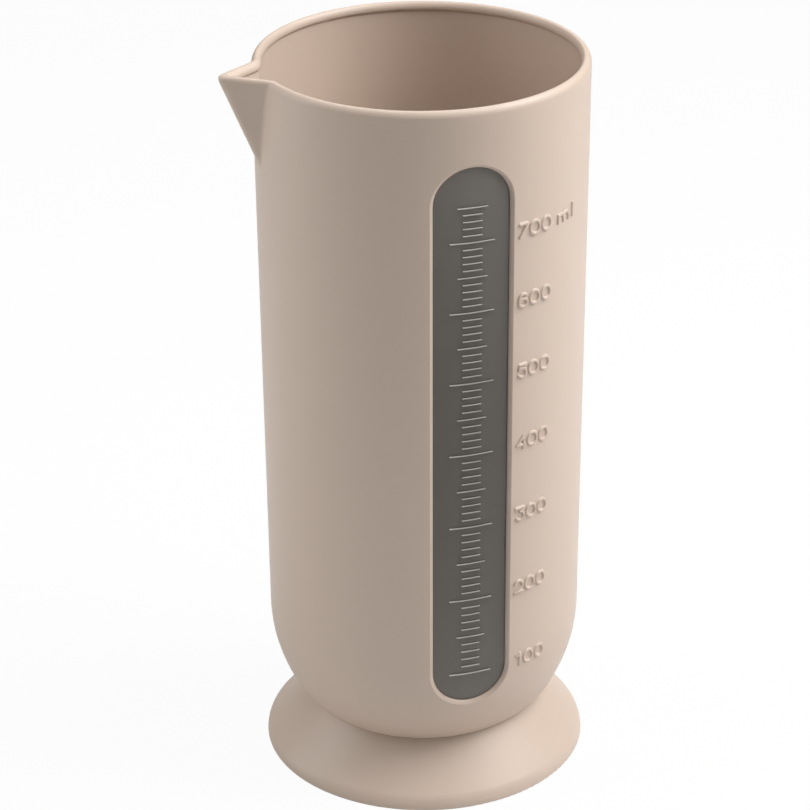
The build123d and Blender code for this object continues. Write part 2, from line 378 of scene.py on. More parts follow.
@dataclass(frozen=True)
class CupForm:
    """Round wall of the cup.

    Attributes:
        rim_radius: outside of the mouth.
        height: top of the rim.
        draft: radius lost for each mm below the rim.
        belly_top: lower end of the straight wall.
        belly_mid: point half way round the belly.
        belly_lean: degrees from vertical there.
        waist: crease between belly and foot.
        waist_lean: degrees from vertical there.
        belly_pulls: strength of the outside's directions, for its upper and its lower half.
        bowl_pulls: the same for the inside.
        wall_top: wall under the lip.
        wall_low: wall at the belly.
        lip_thick: wall of the lip.
        lip_height: height of the lip.
        lip_step: height over which the lip slants into the wall.
        crown_out: rounding of the lip's outer edge, inward and down.
        crown_in: rounding of its inner edge, outward and down.
        crown_bulge: roundness of both, from 1 for a flat bevel to 2 for an oval.
        floor_height: top of the floor.
        floor_thick: thickness of the floor.
        floor_corner: reach of the inside curve to the flat floor.
    """

    rim_radius: float = 42.7
    height: float = 197.0
    draft: float = 0.0064
    belly_top: float = 42.2
    belly_mid: tuple[float, float] = (39.0493, 27.4)
    belly_lean: float = 20.5
    waist: tuple[float, float] = (31.7993, 15.4)
    waist_lean: float = 50.0
    belly_pulls: tuple[tuple[float, float], ...] = ((1.1538, 0.9023), (1.0669, 0.9746))
    bowl_pulls: tuple[tuple[float, float], ...] = ((1.1448, 0.9022), (1.0959, 1.4103))
    wall_top: float = 2.0
    wall_low: float = 3.2
    lip_thick: float = 2.5
    lip_height: float = 2.2
    lip_step: float = 0.7
    crown_out: tuple[float, float] = (1.15, 1.6)
    crown_in: tuple[float, float] = (0.80, 1.3)
    crown_bulge: float = 1.55
    floor_height: float = 14.6
    floor_thick: float = 2.4
    floor_corner: float = 12.0

    @property
    def lip_base(self) -> float:
        """Lower edge of the lip."""
        return self.height - self.lip_height

    @property
    def under(self) -> float:
        """Height of the floor's underside."""
        return self.floor_height - self.floor_thick

    def straight(self, z: Any) -> Any:
        """Outside radius of the straight wall at a height."""
        return self.rim_radius - self.draft * (self.height - z)

    def hollow(self, z: Any) -> Any:
        """Inside radius of the straight wall at a height."""
        share = (self.lip_base - z) / (self.lip_base - self.belly_top)
        return self.straight(z) - self.wall_top - (self.wall_low - self.wall_top) * share

    @staticmethod
    def inward(angle: float) -> tuple[float, float]:
        """Direction down and in, so many degrees from vertical."""
        return (-math.sin(math.radians(angle)), -math.cos(math.radians(angle)))

    @staticmethod
    def moved(point: tuple[float, float], angle: float, inset: float) -> tuple[float, float]:
        """Point of a profile moved square to it, into the wall."""
        turn = math.radians(angle)
        return (point[0] - inset * math.cos(turn), point[1] + inset * math.sin(turn))

    def belly(self, inset: float = 0.0, count: int = 24) -> list[tuple[float, float]]:
        """Outside of the belly from the straight wall down to the waist.

        Args:
            inset: how far the line is drawn into the wall.
            count: steps in each half.

        Returns:
            Points as radius and height.
        """
        start = (self.straight(self.belly_top) - inset, self.belly_top)
        middle = self.moved(self.belly_mid, self.belly_lean, inset)
        end = self.moved(self.waist, self.waist_lean, inset)
        way = self.inward(self.belly_lean)
        high_pull, low_pull = self.belly_pulls
        upper = bend(start, (-self.draft, -1.0), middle, way, high_pull, count)
        return upper + bend(middle, way, end, self.inward(self.waist_lean), low_pull, count)[1:]

    def bowl(self, count: int = 24) -> list[tuple[float, float]]:
        """Inside of the belly from the straight wall down to the flat floor.

        Args:
            count: steps in each half.

        Returns:
            Points as radius and height.
        """
        start = (self.hollow(self.belly_top), self.belly_top)
        middle = self.moved(self.belly_mid, self.belly_lean, self.wall_low)
        end = (middle[0] - self.floor_corner, self.floor_height)
        lean = (self.hollow(self.lip_base) - start[0]) / (self.lip_base - self.belly_top)
        way = self.inward(self.belly_lean)
        high_pull, low_pull = self.bowl_pulls
        upper = bend(start, (-lean, -1.0), middle, way, high_pull, count)
        return upper + bend(middle, way, end, (-1.0, 0.0), low_pull, count)[1:]


class WallLine:
    """Radius of one face of the wall at any height of the straight wall and the belly."""

    def __init__(self, form: CupForm, inset: float | None) -> None:
        """Args:
            form: the cup's sizes.
            inset: depth behind the outside, or None for the inside of the cup.
        """
        points = form.bowl(FINE_STEPS) if inset is None else form.belly(inset, FINE_STEPS)
        low = np.array(points[::-1])
        self.heights, self.radii = low[:, 1], low[:, 0]
        self.form, self.inset = form, inset

    def radius(self, z: Any) -> np.ndarray:
        """Radius at one height or an array of them."""
        z = np.asarray(z, float)
        high = self.form.hollow(z) if self.inset is None else self.form.straight(z) - self.inset
        return np.where(z < self.form.belly_top, np.interp(z, self.heights, self.radii), high)

    def lean(self, z: Any, near: float = 0.05) -> np.ndarray:
        """How fast the radius grows with height.

        Args:
            z: one height or an array of them.
            near: how far above and below to look.

        Returns:
            The growth for each mm.
        """
        return (self.radius(np.asarray(z) + near) - self.radius(np.asarray(z) - near)) / (2 * near)

    def point(self, x: Any, z: Any) -> np.ndarray:
        """Points of the front wall.

        Args:
            x: distance to the right of the window's middle.
            z: height.

        Returns:
            Their places, one row each.
        """
        x, z = np.broadcast_arrays(np.asarray(x, float), np.asarray(z, float))
        return np.stack([x, -np.sqrt(self.radius(z) ** 2 - x**2), z], -1)

    def outward(self, places: np.ndarray) -> np.ndarray:
        """Unit vectors square to the wall, away from the axis, at points on it."""
        flat = places * (1.0, 1.0, 0.0)
        radial = flat / np.linalg.norm(flat, axis=-1, keepdims=True)
        radial[..., 2] = -self.lean(places[..., 2])
        return radial / np.linalg.norm(radial, axis=-1, keepdims=True)


@dataclass(frozen=True)
class SpoutEdge:
    """One outline of the mouth and spout seen from above, at any height.

    Attributes:
        inset: how far the flanks are drawn in.
        tip: rounding of the tip.
        root: reach of the blend between flank and round wall.
        apex: from the axis to the meeting of the outer flanks at the rim.
        half_angle: each flank from the spout's centre line.
        rake: keel from vertical.
        height: top of the rim.
        margin: how far inside the wall and beyond the apex to search for the outline.
        halvings: steps of that search.
        far_off: stands for no flank at all.
    """

    inset: float
    tip: float
    root: float
    apex: float = 54.28
    half_angle: float = 35.3
    rake: float = 22.4
    height: float = 197.0
    margin: float = 6.0
    halvings: int = 44
    far_off: float = 99.0

    def _far(self, reach: np.ndarray, turn: np.ndarray, base: float, z: float) -> np.ndarray:
        """Signed distance from the outline.

        Args:
            reach: distances from the axis.
            turn: angles from the spout's centre line.
            base: radius of the round wall.
            z: height.

        Returns:
            Distances, positive outside.
        """
        angle = math.radians(self.half_angle)
        sine, cosine = math.sin(angle), math.cos(angle)
        meeting = self.apex - self.inset / sine - (self.height - z) * math.tan(math.radians(self.rake))
        along, aside = reach * np.cos(turn), np.abs(reach * np.sin(turn))
        flank = (along - meeting) * sine + aside * cosine
        centre = meeting - self.tip / sine
        behind = (along - centre) * -cosine + aside * sine > 0
        flank = np.where(behind, flank, np.hypot(along - centre, aside) - self.tip)
        flank = np.where(np.abs(turn) < math.pi / 2 - angle, flank, self.far_off)
        wall = reach - base
        near = np.hypot(np.maximum(self.root - wall, 0), np.maximum(self.root - flank, 0))
        return np.maximum(self.root, np.minimum(wall, flank)) - near

    def reach(self, turn: np.ndarray, base: float, z: float, offset: float = 0.0) -> np.ndarray:
        """Distance of the outline from the axis.

        Args:
            turn: angles from the spout's centre line.
            base: radius of the round wall.
            z: height.
            offset: how far outside the outline to measure.

        Returns:
            One distance for each angle.
        """
        low, high = np.full_like(turn, base - self.margin), np.full_like(turn, self.apex + self.margin)
        for _ in range(self.halvings):
            middle = (low + high) / 2
            outside = self._far(middle, turn, base, z) > offset
            low, high = np.where(outside, low, middle), np.where(outside, middle, high)
        return (low + high) / 2


@dataclass(frozen=True)
class WindowForm:
    """Opening of the level window.

    Attributes:
        half_width: half of its width.
        low: lower end.
        high: upper end.
        recess: face of the strip behind the wall's outside.
        edge_round: reach of the opening's softened bevel.
        edge_bulge: its roundness, from 1 for a flat bevel to 2 for a quarter circle.
        edge_steps: steps across it.
        gap: room between strip and opening.
    """

    half_width: float = 9.9
    low: float = 30.8
    high: float = 182.1
    recess: float = 1.2
    edge_round: float = 0.82
    edge_bulge: float = 1.2
    edge_steps: int = 10
    gap: float = 0.06

    def loop(
        self, grow: float = 0.0, arc_steps: int = 28, side_steps: int = 40
    ) -> tuple[np.ndarray, np.ndarray]:
        """Outline seen from the front.

        Args:
            grow: how far outside the opening.
            arc_steps: steps round each end.
            side_steps: steps along each side.

        Returns:
            Points as x and height, anticlockwise from the front, and their outward directions.
        """
        wide = self.half_width + grow
        top, bottom = self.high - self.half_width, self.low + self.half_width
        points, ways = [], []
        for i in range(arc_steps + 1):
            turn = math.pi * i / arc_steps
            points.append((wide * math.cos(turn), top + wide * math.sin(turn)))
            ways.append((math.cos(turn), math.sin(turn)))
        for i in range(1, side_steps):
            points.append((-wide, top + (bottom - top) * i / side_steps))
            ways.append((-1.0, 0.0))
        for i in range(arc_steps + 1):
            turn = math.pi * (1 + i / arc_steps)
            points.append((wide * math.cos(turn), bottom + wide * math.sin(turn)))
            ways.append((math.cos(turn), math.sin(turn)))
        for i in range(1, side_steps):
            points.append((wide, bottom + (top - bottom) * i / side_steps))
            ways.append((1.0, 0.0))
        return np.array(points), np.array(ways)

    def far(self, x: np.ndarray, z: np.ndarray) -> np.ndarray:
        """Distance outside the opening, seen from the front."""
        nearest = np.clip(z, self.low + self.half_width, self.high - self.half_width)
        return np.hypot(x, z - nearest) - self.half_width


@dataclass(frozen=True)
class ScaleForm:
    """Volumes and heights of the graduations.

    Attributes:
        form: the cup's sizes.
        lowest: lowest mark in ml.
        highest: highest mark in ml.
        step: ml between marks.
        medium_step: ml between medium marks.
        long_step: ml between long marks, which have numerals.
        low_trim: ml in the round cavity below the lowest mark, less its number.
        high_trim: the same at the highest mark.
        mid_trim: added to both half way up.
        anchor: a height in the straight part of the cavity.
        anchor_volume: ml in the cavity below it.
    """

    form: CupForm = CupForm()
    lowest: int = 100
    highest: int = 750
    step: int = 10
    medium_step: int = 50
    long_step: int = 100
    low_trim: float = -2.0
    high_trim: float = -9.4
    mid_trim: float = 9.3
    anchor: float = 42.2
    anchor_volume: float = 108.89

    @property
    def lean(self) -> float:
        """How fast the cavity widens with height."""
        rise = self.form.lip_base - self.form.belly_top
        return (self.form.hollow(self.form.lip_base) - self.form.hollow(self.form.belly_top)) / rise

    @property
    def anchor_radius(self) -> float:
        """Cavity's radius at the anchor."""
        return self.form.hollow(self.anchor)

    def height(self, volume: float) -> float:
        """Height of the mark for so many ml."""
        share = (volume - self.lowest) / (self.highest - self.lowest)
        trim = self.low_trim + (self.high_trim - self.low_trim) * share
        trim += 4 * self.mid_trim * share * (1 - share)
        room = 3 * self.lean * (volume + trim - self.anchor_volume) * MM3_PER_ML / math.pi
        return self.anchor + ((self.anchor_radius**3 + room) ** (1 / 3) - self.anchor_radius) / self.lean


# ------------------------------------------------------------------ mesh making
class Shell:
    """Collects the points and faces of one closed mesh; equal points are shared."""

    decimals = 4

    def __init__(self) -> None:
        """Starts empty."""
        self.points: list[tuple[float, float, float]] = []
        self.faces: list[tuple[int, ...]] = []
        self.normals: list[Sequence[Sequence[float]] | None] = []
        self.known: dict[tuple[float, float, float], int] = {}

    def point(self, place: Sequence[float]) -> int:
        """Args:
            place: a point in millimetres.

        Returns:
            Its number.
        """
        key = tuple(round(float(v), self.decimals) for v in place)
        if key not in self.known:
            self.known[key] = len(self.points)
            self.points.append(tuple(float(v) * MM for v in place))
        return self.known[key]

    def face(
        self, places: Sequence[Sequence[float]], normals: Sequence[Sequence[float]] | None = None
    ) -> None:
        """Adds a face.

        Args:
            places: its corners, anticlockwise from outside.
            normals: exact directions at the corners, if they are known.
        """
        numbers = [self.point(place) for place in places]
        kept = [i for i, n in enumerate(numbers) if n != numbers[i - 1]]
        if len(kept) > 2 and len(set(numbers[i] for i in kept)) == len(kept):
            self.faces.append(tuple(numbers[i] for i in kept))
            self.normals.append(None if normals is None else [tuple(normals[i]) for i in kept])

    def band(
        self,
        low: np.ndarray,
        high: np.ndarray,
        skip: Sequence[int] = (),
        normals: tuple[np.ndarray, np.ndarray] | None = None,
    ) -> None:
        """Joins two closed rings of as many points.

        Args:
            low: the first ring.
            high: the ring after it.
            skip: steps that are left open.
            normals: exact directions along both rings.
        """
        count = len(low)
        left_out = set(skip)
        for i in range(count):
            if i in left_out:
                continue
            j = (i + 1) % count
            exact = None
            if normals is not None:
                exact = (normals[0][i], normals[0][j], normals[1][j], normals[1][i])
            self.face((low[i], low[j], high[j], high[i]), exact)

    def cap(self, ring: np.ndarray, centre: Sequence[float], last: bool) -> None:
        """Closes a ring to a centre.

        Args:
            ring: the ring.
            centre: the pole.
            last: whether the pole comes after the ring.
        """
        for i in range(len(ring)):
            a, b = ring[i], ring[(i + 1) % len(ring)]
            self.face((a, b, centre) if last else (b, a, centre))

    def patch(self, places: np.ndarray, normals: np.ndarray, triangles: Sequence[Sequence[int]]) -> None:
        """Adds triangles that face along their normals.

        Args:
            places: points.
            normals: exact directions at them.
            triangles: three numbers each.
        """
        for a, b, c in triangles:
            flat = np.cross(places[b] - places[a], places[c] - places[a])
            if float(np.dot(flat, normals[a] + normals[b] + normals[c])) < 0:
                b, c = c, b
            self.face((places[a], places[b], places[c]), (normals[a], normals[b], normals[c]))

    def build(self, name: str, material: bpy.types.Material, sharp: float = 32.0) -> bpy.types.Object:
        """Makes the object.

        Args:
            name: its name.
            material: its finish.
            sharp: edges that turn more than this many degrees stay crisp.

        Returns:
            The new object.
        """
        mesh = bpy.data.meshes.new(name)
        mesh.from_pydata(self.points, [], self.faces)
        mesh.shade_smooth()
        mesh.set_sharp_from_angle(angle=math.radians(sharp))
        corners = [tuple(c.vector) for c in mesh.corner_normals]
        for polygon, normals in zip(mesh.polygons, self.normals):
            if normals is not None:
                for corner, normal in zip(polygon.loop_indices, normals):
                    corners[corner] = normal
        mesh.normals_split_custom_set(corners)
        mesh.materials.append(material)
        piece = bpy.data.objects.new(name, mesh)
        bpy.context.scene.collection.objects.link(piece)
        return piece


def fill(
    loops: Sequence[np.ndarray], inside: np.ndarray, near: float = 1e-5
) -> tuple[np.ndarray, list[tuple[int, ...]], np.ndarray]:
    """Fills flat loops with triangles.

    Args:
        loops: closed loops of flat points.
        inside: further points to use.
        near: points closer than this are one.

    Returns:
        The flat points, the triangles, and for each point its number among the given ones, or -1.
    """
    given = np.vstack([*loops, inside])
    edges, start = [], 0
    for loop in loops:
        edges += [(start + i, start + (i + 1) % len(loop)) for i in range(len(loop))]
        start += len(loop)
    made = geometry.delaunay_2d_cdt([Vector(p) for p in given], edges, [], 0, near, True)
    spots = np.array([tuple(v) for v in made[0]])
    source = np.array([o[0] if o else -1 for o in made[3]])
    spots[source >= 0] = given[source[source >= 0]]
    return spots, [tuple(f) for f in made[2]], source


def enclosed(spots: np.ndarray, loop: np.ndarray) -> np.ndarray:
    """Args:
        spots: flat points.
        loop: a flat closed loop.

    Returns:
        For each point whether it lies inside the loop.
    """
    (x, y), (x_next, y_next) = loop.T, np.roll(loop, -1, 0).T
    across, upward = spots[:, :1], spots[:, 1:]
    straddle = (y > upward) != (y_next > upward)
    rise = np.where(straddle, y_next - y, 1.0)
    return np.count_nonzero(straddle & (across < x + (upward - y) * (x_next - x) / rise), axis=1) % 2 == 1


# ------------------------------------------------------------------ numerals
@dataclass(frozen=True)
class Lettering:
    """Strokes of the raised numerals, as lines in millimetres.

    Attributes:
        wide: width of a digit.
        zero_wide: width of a nought.
        high: height of a digit.
        stroke: width of a stroke.
        gap: room between digits.
        unit_gap: room before the unit.
        letter_gap: room between the unit's letters.
        lift: middle of the digits above their mark.
        start: from the opening's edge to the first digit.
        relief: how far a stroke stands out.
        flat: half of a stroke's level top.
        foot: from a stroke's middle to its foot.
        arc_points: least number of points on an arc.
        arc_degrees: least turn between them on a long one.
    """

    wide: float = 3.2
    zero_wide: float = 3.75
    high: float = 4.1
    stroke: float = 0.72
    gap: float = 0.22
    unit_gap: float = 2.4
    letter_gap: float = 1.5
    lift: float = 1.05
    start: float = 2.1
    relief: float = 0.50
    flat: float = 0.17
    foot: float = 0.54
    arc_points: int = 6
    arc_degrees: float = 11.0

    def _arc(self, x: float, y: float, wide: float, high: float, start: float, sweep: float) -> np.ndarray:
        """Points on an arc of an oval.

        Args:
            x: centre across.
            y: centre up.
            wide: half width.
            high: half height.
            start: first angle in degrees.
            sweep: how far it runs in degrees.

        Returns:
            The points.
        """
        count = max(self.arc_points, int(abs(sweep) / self.arc_degrees))
        turn = np.radians(np.linspace(start, start + sweep, count))
        return np.stack([x + wide * np.cos(turn), y + high * np.sin(turn)], -1)

    def glyph(self, name: str) -> tuple[list[np.ndarray], float]:
        """Strokes of one glyph.

        Args:
            name: a digit or a letter of the unit.

        Returns:
            The strokes and the glyph's width.
        """
        left, right = self.stroke / 2, self.wide - self.stroke / 2
        low, high = self.stroke / 2, self.high - self.stroke / 2
        mid, bowl = self.wide / 2, (self.wide - self.stroke) / 2
        arch, x_high, bar = 0.87 * bowl, low + 0.62 * (high - low), low + 0.28 * (high - low)
        seven, zero = 0.92 * self.wide, self.zero_wide / 2
        strokes: dict[str, list[Any]] = {
            "0": [self._arc(zero, self.high / 2, zero - left, (high - low) / 2, 0, 360)],
            "1": [
                [(mid - 0.2 * bowl, high - 0.5 * bowl), (mid + 0.6 * bowl, high), (mid + 0.6 * bowl, low)],
            ],
            "2": [
                np.vstack([self._arc(mid, high - bowl, bowl, bowl, 165, -200), [(left, low), (right, low)]]),
            ],
            "3": [
                [(left, high), (right, high), (mid, low + 2 * bowl)],
                self._arc(mid, low + bowl, bowl, bowl, 90, -235),
            ],
            "4": [
                [(right - 0.35 * bowl, low), (right - 0.35 * bowl, high), (left, bar)],
                [(left, bar), (right, bar)],
            ],
            "5": [
                [(right, high), (left + 0.35 * bowl, high), (left + 0.25 * bowl, low + 1.75 * bowl)],
                self._arc(mid, low + bowl, bowl, bowl, 123, -268),
            ],
            "6": [
                self._arc(mid, low + 0.85 * bowl, bowl, 0.85 * bowl, 0, 360),
                self._arc(mid, self.high / 2, bowl, (high - low) / 2, 195, -145),
            ],
            "7": [[(left, high), (seven - left, high), (left + 0.05 * bowl, low)]],
            "m": [
                [(left, low), (left, x_high)],
                *(
                    np.vstack([
                        self._arc(left + (leg - 1) * arch, x_high - arch, arch, arch, 180, -180),
                        [(left + leg * arch, low)],
                    ])
                    for leg in (2, 4)
                ),
            ],
            "l": [[(left, low), (left, high)]],
        }
        widths = {"0": self.zero_wide, "7": seven, "m": self.stroke + 4 * arch, "l": self.stroke}
        return [np.array(s, float) for s in strokes[name]], widths.get(name, self.wide)

    def words(self, volume: int, unit: bool) -> list[np.ndarray]:
        """Strokes of a whole numeral.

        Args:
            volume: the number.
            unit: whether the unit follows.

        Returns:
            The strokes, from the first digit's left edge and foot.
        """
        drawn, x = [], 0.0
        for name in str(volume):
            strokes, wide = self.glyph(name)
            drawn += [s + (x, 0.0) for s in strokes]
            x += wide + self.gap
        x += self.unit_gap - self.gap
        for name in "ml" if unit else "":
            strokes, wide = self.glyph(name)
            drawn += [s + (x, 0.0) for s in strokes]
            x += wide + self.letter_gap
        return drawn

    def rise(self, far: np.ndarray) -> np.ndarray:
        """Height of the relief at distances from the middle of the strokes."""
        share = np.clip((far - self.flat) / (self.foot - self.flat), 0.0, 1.0)
        return self.relief * (0.5 + 0.5 * np.cos(math.pi * share))


def distance(points: np.ndarray, strokes: Sequence[np.ndarray]) -> np.ndarray:
    """Least distance from points to broken lines.

    Args:
        points: flat points.
        strokes: broken lines.

    Returns:
        One distance for each point.
    """
    best = np.full(len(points), 1e9)
    for stroke in strokes:
        for a, b in zip(stroke[:-1], stroke[1:]):
            run = b - a
            share = np.clip(((points - a) @ run) / max(float(run @ run), 1e-12), 0.0, 1.0)
            best = np.minimum(best, np.linalg.norm(points - a - share[:, None] * run, axis=1))
    return best


# ------------------------------------------------------------------ pieces
@dataclass(frozen=True)
class PatchSpacing:
    """Distances between the mesh points of the wall round the opening.

    Attributes:
        belly: between points of the belly.
        belly_top: height up to which they lie that close.
        wall: between rows of the straight wall.
        wall_low: the lowest of these rows.
        low_margin: room to the patch's lower edge and its first turn.
        high_margin: room to its last turn.
        top_margin: room to its upper edge.
        clear: room round the opening.
        numeral: between points on the numerals.
        around: how far round a numeral such points are laid.
        apart: room that the other points leave round a stroke.
        beyond: how far past a stroke's foot all of them are kept.
        thinning: past that, one in so many is kept.
    """

    belly: float = 1.4
    belly_top: float = 46.0
    wall: float = 9.0
    wall_low: float = 50.0
    low_margin: float = 1.2
    high_margin: float = 1.0
    top_margin: float = 2.0
    clear: float = 2.6
    numeral: float = 0.17
    around: float = 1.2
    apart: float = 1.5
    beyond: float = 0.12
    thinning: int = 7


@dataclass
class Cup:
    """The cup with its spout, its opening and its numerals.

    Attributes:
        form: sizes of the round wall.
        window: sizes of the opening.
        scale: the graduations.
        lettering: the numerals.
        patch: first and last turn from the window's middle, in degrees, of the wall round the opening.
        patch_low: its lower edge.
        patch_high: its upper edge.
        patch_radii: least and greatest radius of a ring that can belong to the patch.
        slope_step: distance over which the numerals' slope is measured.
        spacing: how close the patch's points lie.
        spout_span: first and last turn of the part of each ring that the spout can reach.
        columns: points of a ring on the patch, right of it, across the spout and left of it.
        rows: heights of the rings on the straight wall below the spout.
        hollow_rows: the same inside.
        hollow_top: highest ring of the hollow under the lip.
        spout_low: lowest ring that follows the spout.
        spout_rise: between rings from there on.
        belly_steps: steps in each half of the belly.
        crown_turn: degrees between the rings that round the lip.
        step_rings: rings across the slant under the lip.
        tip: rounding of the spout's tip outside.
        root: reach of the blend at its root outside.
        inner_tip: rounding of the tip inside.
        inner_root: the same for an inner outline, and how much it grows for each mm of wall.
        unrolled_at: height at which the wall's radius is the unrolled wall's scale.
        spigot: radius of the ring that carries the foot.
        spigot_wall: its thickness.
        spigot_end: how far it goes on below its bead.
        collar: room for the foot's collar above the bead.
        bead_out: how far the bead stands out.
        bead_height: its height.
        bead_fall: from its top to its widest point.
    """

    form: CupForm = field(default_factory=CupForm)
    window: WindowForm = field(default_factory=WindowForm)
    scale: ScaleForm = field(default_factory=ScaleForm)
    lettering: Lettering = field(default_factory=Lettering)
    patch: tuple[float, float] = (-17.5, 49.0)
    patch_low: float = 27.4
    patch_high: float = 187.0
    patch_radii: tuple[float, float] = (32.0, 44.0)
    slope_step: float = 0.02
    spacing: PatchSpacing = field(default_factory=PatchSpacing)
    spout_span: tuple[float, float] = (253.0, 287.0)
    columns: tuple[int, int, int, int] = (26, 84, 69, 24)
    rows: range = range(52, 163, 10)
    hollow_rows: range = range(160, 49, -10)
    hollow_top: float = 194.0
    spout_low: float = 168.0
    spout_rise: float = 1.0
    belly_steps: int = 12
    crown_turn: int = 15
    step_rings: int = 5
    tip: float = 1.86
    root: float = 0.52
    inner_tip: float = 0.6
    inner_root: tuple[float, float] = (0.56, 0.24)
    unrolled_at: float = 110.0
    spigot: float = 25.2
    spigot_wall: float = 2.4
    spigot_end: float = 0.6
    collar: float = 2.45
    bead_out: float = 0.5
    bead_height: float = 1.4
    bead_fall: float = 0.47

    def __post_init__(self) -> None:
        """Works out the turns of the wall's columns, its faces and the numerals."""
        (first, last), (spout_first, spout_last) = self.patch, self.spout_span
        self.front, right_count, spout_count, left_count = self.columns
        front = np.linspace(first, last, self.front)
        right = np.linspace(last, spout_first, right_count)[1:]
        spout = np.linspace(spout_first, spout_last, spout_count)[1:]
        left = np.linspace(spout_last, 360.0 + first, left_count)[1:-1]
        self.turns = np.radians(np.concatenate([front, right, spout, left]))
        self.outer = WallLine(self.form, 0.0)
        self.inner = WallLine(self.form, None)
        self.metric = self.form.straight(self.unrolled_at)
        self.labels = self._labels()

    def _ring(self, radius: Any, z: float) -> np.ndarray:
        """Points round the axis.

        Args:
            radius: one radius or one for each column.
            z: height.

        Returns:
            The ring.
        """
        radius = np.broadcast_to(radius, self.turns.shape)
        across, ahead = radius * np.sin(self.turns), -radius * np.cos(self.turns)
        return np.stack([across, ahead, np.full_like(self.turns, z)], -1)

    def _edge(self, edge: SpoutEdge, base: float, z: float, offset: float = 0.0) -> np.ndarray:
        """Ring that follows the spout.

        Args:
            edge: the outline.
            base: radius of the round wall.
            z: height.
            offset: how far outside the outline.

        Returns:
            The ring.
        """
        side = np.angle(np.exp(1j * (self.turns + math.pi / 2)))
        return self._ring(edge.reach(side, base, z, offset), z)

    def _inner_edge(self, inset: float) -> SpoutEdge:
        """Outline of the spout inside.

        Args:
            inset: depth behind the outside.

        Returns:
            The outline.
        """
        root, growth = self.inner_root
        return SpoutEdge(inset, self.inner_tip, root + growth * inset)

    def _mouth(self, inset: float, z: float, offset: float = 0.0) -> np.ndarray:
        """Ring of the mouth.

        Args:
            inset: depth behind the outside.
            z: height.
            offset: how far outside the outline.

        Returns:
            The ring.
        """
        return self._edge(self._inner_edge(inset), self.form.straight(z) - inset, z, offset)

    def _foot_end(self) -> list[tuple[float, float]]:
        """Returns:
            Points of the spigot and its bead, as radius and height, from inside to the crease.
        """
        form, under = self.form, self.form.under
        seat = form.waist[0] - (form.waist[1] - under) * math.tan(math.radians(form.waist_lean))
        inside, bead_top = self.spigot - self.spigot_wall, under - self.collar
        bead_low = bead_top - self.bead_height
        end = bead_top - (self.bead_height + self.spigot_end)
        return [
            (inside, under),
            (inside, end),
            (self.spigot, end),
            (self.spigot, bead_low),
            (self.spigot + self.bead_out, bead_top - self.bead_fall),
            (self.spigot, bead_top),
            (self.spigot, under),
            (seat, under),
        ]

    def _outside(self) -> list[np.ndarray]:
        """Returns:
            Rings from the underside up to the top of the rim.
        """
        form, rise = self.form, self.spout_rise
        profile = self._foot_end() + form.belly(0.0, self.belly_steps)[::-1]
        up = [self._ring(radius, z) for radius, z in profile]
        up += [self._ring(form.straight(z), z) for z in (*self.rows, self.spout_low - 2 * rise)]
        edge = SpoutEdge(0.0, self.tip, self.root)
        wide, tall = form.crown_out
        top = form.height - tall
        heights = (*np.arange(self.spout_low, top, rise), top)
        up += [self._edge(edge, form.straight(z), z) for z in heights]
        for bite, z in self._crown(wide, tall)[1:]:
            up.append(self._edge(edge, form.straight(top), z, -bite))
        return up

    def _crown(self, wide: float, tall: float) -> list[tuple[float, float]]:
        """Rounding of one edge of the lip.

        Args:
            wide: how far it reaches in from the side.
            tall: how far it reaches down from the top.

        Returns:
            How far each of its rings is drawn in, and its height, from below to the top.
        """
        power = 2 / self.form.crown_bulge
        turns = np.radians(np.arange(0, 91, self.crown_turn))
        return [
            (
                wide * (1 - abs(math.cos(turn)) ** power),
                self.form.height - tall + tall * math.sin(turn) ** power,
            )
            for turn in turns
        ]

    def _hollow(self) -> list[np.ndarray]:
        """Returns:
            Rings from the top of the rim down to the floor.
        """
        form = self.form
        down = [self._mouth(form.lip_thick, z, bite) for bite, z in self._crown(*form.crown_in)[::-1]]
        for share in np.linspace(0.0, 1.0, self.step_rings):
            drawn = (form.lip_thick - form.wall_top) * (0.5 - 0.5 * math.cos(math.pi * share))
            down.append(self._mouth(form.lip_thick - drawn, form.lip_base + form.lip_step * (0.5 - share)))
        edge, rise = self._inner_edge(form.wall_top), self.spout_rise
        for z in np.arange(self.hollow_top, self.spout_low - rise, -rise):
            down.append(self._edge(edge, form.hollow(z), z))
        down += [self._ring(form.hollow(z), z) for z in self.hollow_rows]
        return down + [self._ring(radius, z) for radius, z in form.bowl(self.belly_steps)]

    def _labels(self) -> list[tuple[float, float, list[np.ndarray]]]:
        """Returns:
            For each numeral, its left edge along the wall, its foot's height and its strokes.
        """
        start = math.asin(self.window.half_width / self.metric) * self.metric + self.lettering.start
        labels = []
        step = self.scale.long_step
        for volume in range(step, self.scale.highest + 1, step):
            foot = self.scale.height(volume) + self.lettering.lift - self.lettering.high / 2
            labels.append((start, foot, self.lettering.words(volume, volume + step > self.scale.highest)))
        return labels

    def relief(self, flat: np.ndarray) -> np.ndarray:
        """Height of the numerals at points of the unrolled wall.

        Args:
            flat: distance along the wall from the window's middle, and height.

        Returns:
            Heights above the wall.
        """
        rise = np.zeros(len(flat))
        for left, foot, strokes in self.labels:
            near = np.where(np.abs(flat[:, 1] - foot - self.lettering.high / 2) < self.lettering.high)[0]
            if len(near):
                far = distance(flat[near] - (left, foot), strokes)
                rise[near] = np.maximum(rise[near], self.lettering.rise(far))
        return rise

